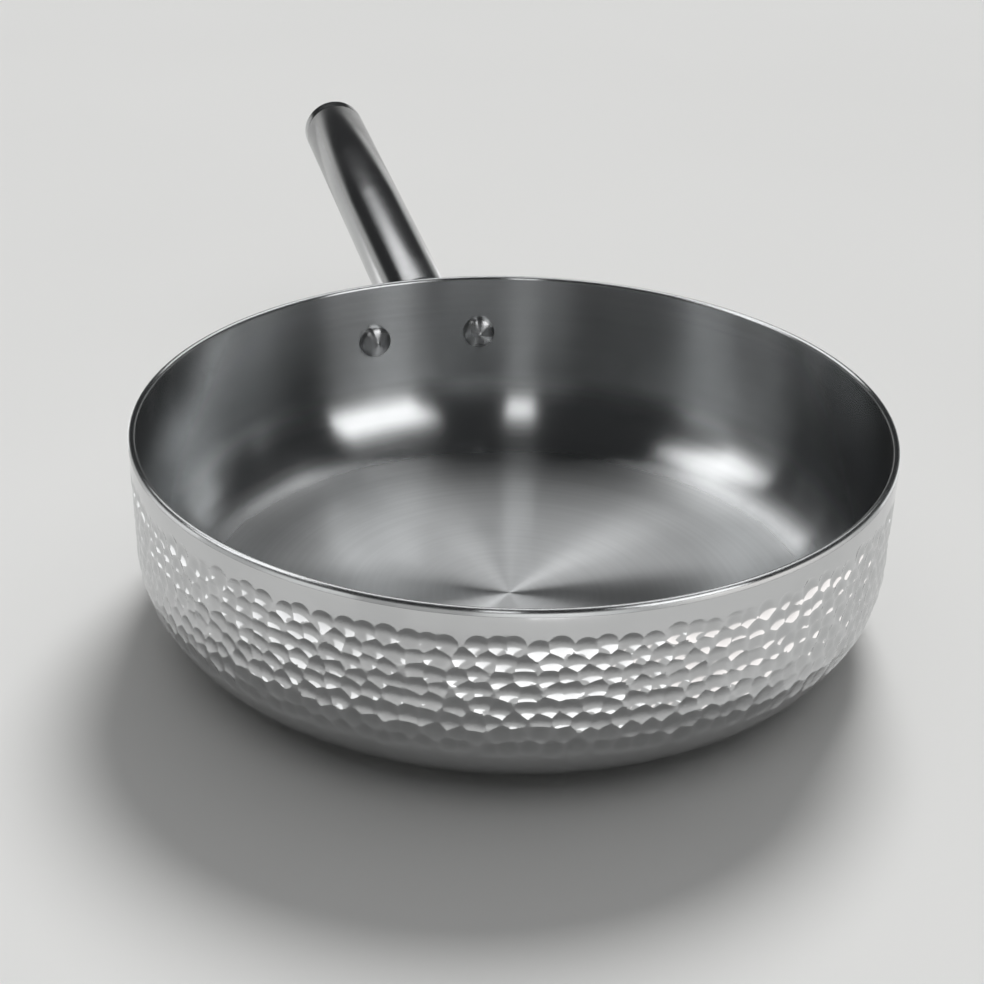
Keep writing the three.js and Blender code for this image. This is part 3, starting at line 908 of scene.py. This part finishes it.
def spread_across_lines(tree, shader, tangent):
    feed(tree, tangent, shader.inputs["Tangent"])
    shader.inputs["Anisotropic"].default_value = 1.0
    shader.inputs["Anisotropic Rotation"].default_value = 0.25


def dress(piece, finish):
    piece.data.materials.clear()
    piece.data.materials.append(finish)


print("helpers: start_steel, add_bump, tone_colour, spread_across_lines, dress")

# %% [markdown]
# ## The outside: hammered and mirror polished
# After the hammer the sheet is buffed bright. The plain band under the lip is nearly a mirror, but the
# blows below it left faint upright ripples, which bend every reflection. They are a noise that is quick
# round the pan and slow down the wall. The buffing wheel rubs the ridges harder than the hollows, which
# stay a little duller. Each hollow's colour is also painted darker towards its middle: painted shade, so
# that the hollows show under even light. So each point keeps how deep it was struck as an attribute, and
# the finish reads it.

# %% Finish the outer skin
inset, struck = on_section(read_points(outer_skin))[2:]
depth = np.where(struck & (inset < OUTER_SKIN * 0.97), np.clip(inset / HOLLOW_DEPTH, 0, 1), 0)
depth_layer = outer_skin.data.attributes.new("struck_depth", "FLOAT", "POINT")
depth_layer.data.foreach_set("value", depth.astype(np.float32))
polished, tree, shader, where, rough = start_steel(
    "buffed_steel", (0.62, 0.625, 0.63), (0.58, 0.585, 0.59), 0.06, 0.1
)
struck_depth = add_node(tree, "ShaderNodeAttribute", attribute_name="struck_depth").outputs["Fac"]
# Painted shade: the colour darkens with the struck depth, towards the middle of each hollow.
tone_colour(tree, shader, blend_range(tree, struck_depth, 0.15, 1.0, 1.0, 0.86))
duller = blend_range(tree, struck_depth, 0.3, 1.0, 0.0, 0.08)
feed(tree, calc(tree, "ADD", rough, duller), shader.inputs["Roughness"])
stretch = add_node(tree, "ShaderNodeMapping")
stretch.inputs["Scale"].default_value = (1, 1, 0.25)
feed(tree, where, stretch.inputs["Vector"])
ripple = noise(tree, stretch.outputs[0], 180.0, 1.5)
add_bump(tree, shader, ripple, 0.05 * MM)
dress(outer_skin, polished)
print("outer skin:", polished.name)

# %% [markdown]
# ## The inside: brushed round the wall, turned on the base
# The inner sheet was rubbed while the bowl turned, so its lines run round the axis everywhere. Such lines
# spread a highlight across themselves: up and down on the wall, and from the middle outwards on the base.
# That is anisotropy, with a tangent round the axis, turned by a quarter. The base was cut with a coarser
# tool, so it is rougher than the wall, and the lip is rubbed even by use.

# %% Finish the inner skin
brushed, tree, shader, where, rough = start_steel(
    "inside_steel", (0.52, 0.53, 0.535), (0.49, 0.5, 0.505), 0.36, 0.38
)
broad = use_group(tree, turned_lines, where, Fineness=600.0, Run=0.8)
height = add_node(tree, "ShaderNodeSeparateXYZ")
feed(tree, where, height.inputs[0])
on_lip = blend_range(tree, height.outputs["Z"], PAN_HEIGHT - 1.6 * MM, PAN_HEIGHT - 0.9 * MM)
up_wall = blend_range(tree, height.outputs["Z"], 2.8 * MM, 6 * MM, 0.0, -0.14)
varied = calc(tree, "ADD", rough, calc(tree, "MULTIPLY", calc(tree, "SUBTRACT", broad, 0.5), 0.03))
below_lip = calc(tree, "ADD", varied, up_wall)
feed(tree, blend_range(tree, on_lip, 0.0, 1.0, below_lip, 0.22), shader.inputs["Roughness"])
round_axis = add_node(tree, "ShaderNodeTangent", direction_type="RADIAL", axis="Z")
spread_across_lines(tree, shader, round_axis.outputs[0])
tone_colour(tree, shader, blend_range(tree, broad, 0.3, 0.7, 0.96, 1.02))
dress(inner_skin, brushed)
print("inner skin:", brushed.name)

# %% [markdown]
# ## The handle
# The tube, its cap and the bracket are polished less than the bowl, and their colour is painted darker
# than the bowl's, as painted shade that dims every reflection on them. Fine lines run along the tube, as
# drawing and belting leave them. A Mapping node lays the pattern along the tilted handle.

# %% Finish the handle
# Painted shade: this steel's colour is darker than the bowl's, so every reflection on the handle is dimmer.
handle_steel, tree, shader, where, rough = start_steel(
    "handle_steel", (0.44, 0.445, 0.45), (0.40, 0.405, 0.41), 0.16, 0.2
)
along_tube = add_node(tree, "ShaderNodeMapping")
along_tube.inputs["Rotation"].default_value = (-HANDLE_TILT, 0, 0)
feed(tree, where, along_tube.inputs["Vector"])
drawn = add_node(tree, "ShaderNodeMapping")
drawn.inputs["Scale"].default_value = (1, 0.02, 1)
feed(tree, along_tube.outputs[0], drawn.inputs["Vector"])
add_bump(tree, shader, noise(tree, drawn.outputs[0], 2200.0, 2.0), 0.0015 * MM)
for piece in (handle_tube, end_cap, bracket):
    dress(piece, handle_steel)
print("handle:", handle_steel.name)

# %% [markdown]
# ## The rivets' finish
# A rivet head is turned on a lathe, so it carries fine rings round its own axis. They spread a highlight
# from the middle outwards, into the bright wedge that turned metal shows. The tangent here is the axis
# crossed with the place on the head. The material is the same on both rivets but for that axis, so a loop
# makes it twice.

# %% Finish the rivets
for name, angle in (("left", RIVET_ANGLE), ("right", -RIVET_ANGLE)):
    turned_steel, tree, shader, where, rough = start_steel(
        "turned_steel_" + name, (0.55, 0.555, 0.56), (0.50, 0.505, 0.51), 0.27, 0.3
    )
    centred = add_node(tree, "ShaderNodeMapping", vector_type="TEXTURE")
    centred.inputs["Location"].default_value = (0, 0, RIVET_HEIGHT)
    centred.inputs["Rotation"].default_value = (-pi / 2, 0, angle)
    feed(tree, where, centred.inputs["Vector"])
    rings = use_group(tree, turned_lines, centred.outputs[0], Fineness=1400.0, Run=0.6)
    add_bump(tree, shader, rings, 0.012 * MM)
    from_axis = add_node(tree, "ShaderNodeVectorMath", operation="SUBTRACT")
    feed(tree, where, from_axis.inputs[0])
    from_axis.inputs[1].default_value = (0, 0, RIVET_HEIGHT)
    round_rivet = add_node(tree, "ShaderNodeVectorMath", operation="CROSS_PRODUCT")
    round_rivet.inputs[0].default_value = (-sin(angle), cos(angle), 0)
    feed(tree, from_axis.outputs[0], round_rivet.inputs[1])
    spread_across_lines(tree, shader, round_rivet.outputs[0])
    dress(rivets[name], turned_steel)
print("rivets:", len(rivets))

# %% [markdown]
# ## The core's finish
# Rolled aluminium is dull and pale, with faint lines from the rolls. The spun sheet keeps them as rings.

# %% Finish the core
rolled, tree, shader, where, rough = start_steel(
    "rolled_aluminium", (0.78, 0.79, 0.80), (0.73, 0.74, 0.75), 0.42, 0.5
)
add_bump(tree, shader, use_group(tree, turned_lines, where, Fineness=1500.0, Run=1.0), 0.004 * MM)
dress(heat_core, rolled)
print("core:", rolled.name)

# %% [markdown]
# ## Tie the pieces to the frame
# Each fine piece stands for one solid and rides on the only body.

# %% Ride and replace
PIECES = (
    (outer_skin, "hammered_outer_skin", "polished_steel"),
    (heat_core, "heat_core", "aluminium_core"),
    (inner_skin, "brushed_inner_skin", "brushed_steel"),
    (bracket, "handle_bracket", "polished_steel"),
    (handle_tube, "handle_tube", "polished_steel"),
    (end_cap, "handle_end_cap", "polished_steel"),
    (rivets["left"], "rivet_left", "turned_steel"),
    (rivets["right"], "rivet_right", "turned_steel"),
)
for piece, node, slot in PIECES:
    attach(piece, "root")
    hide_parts(node)
print("pieces:", len(PIECES))
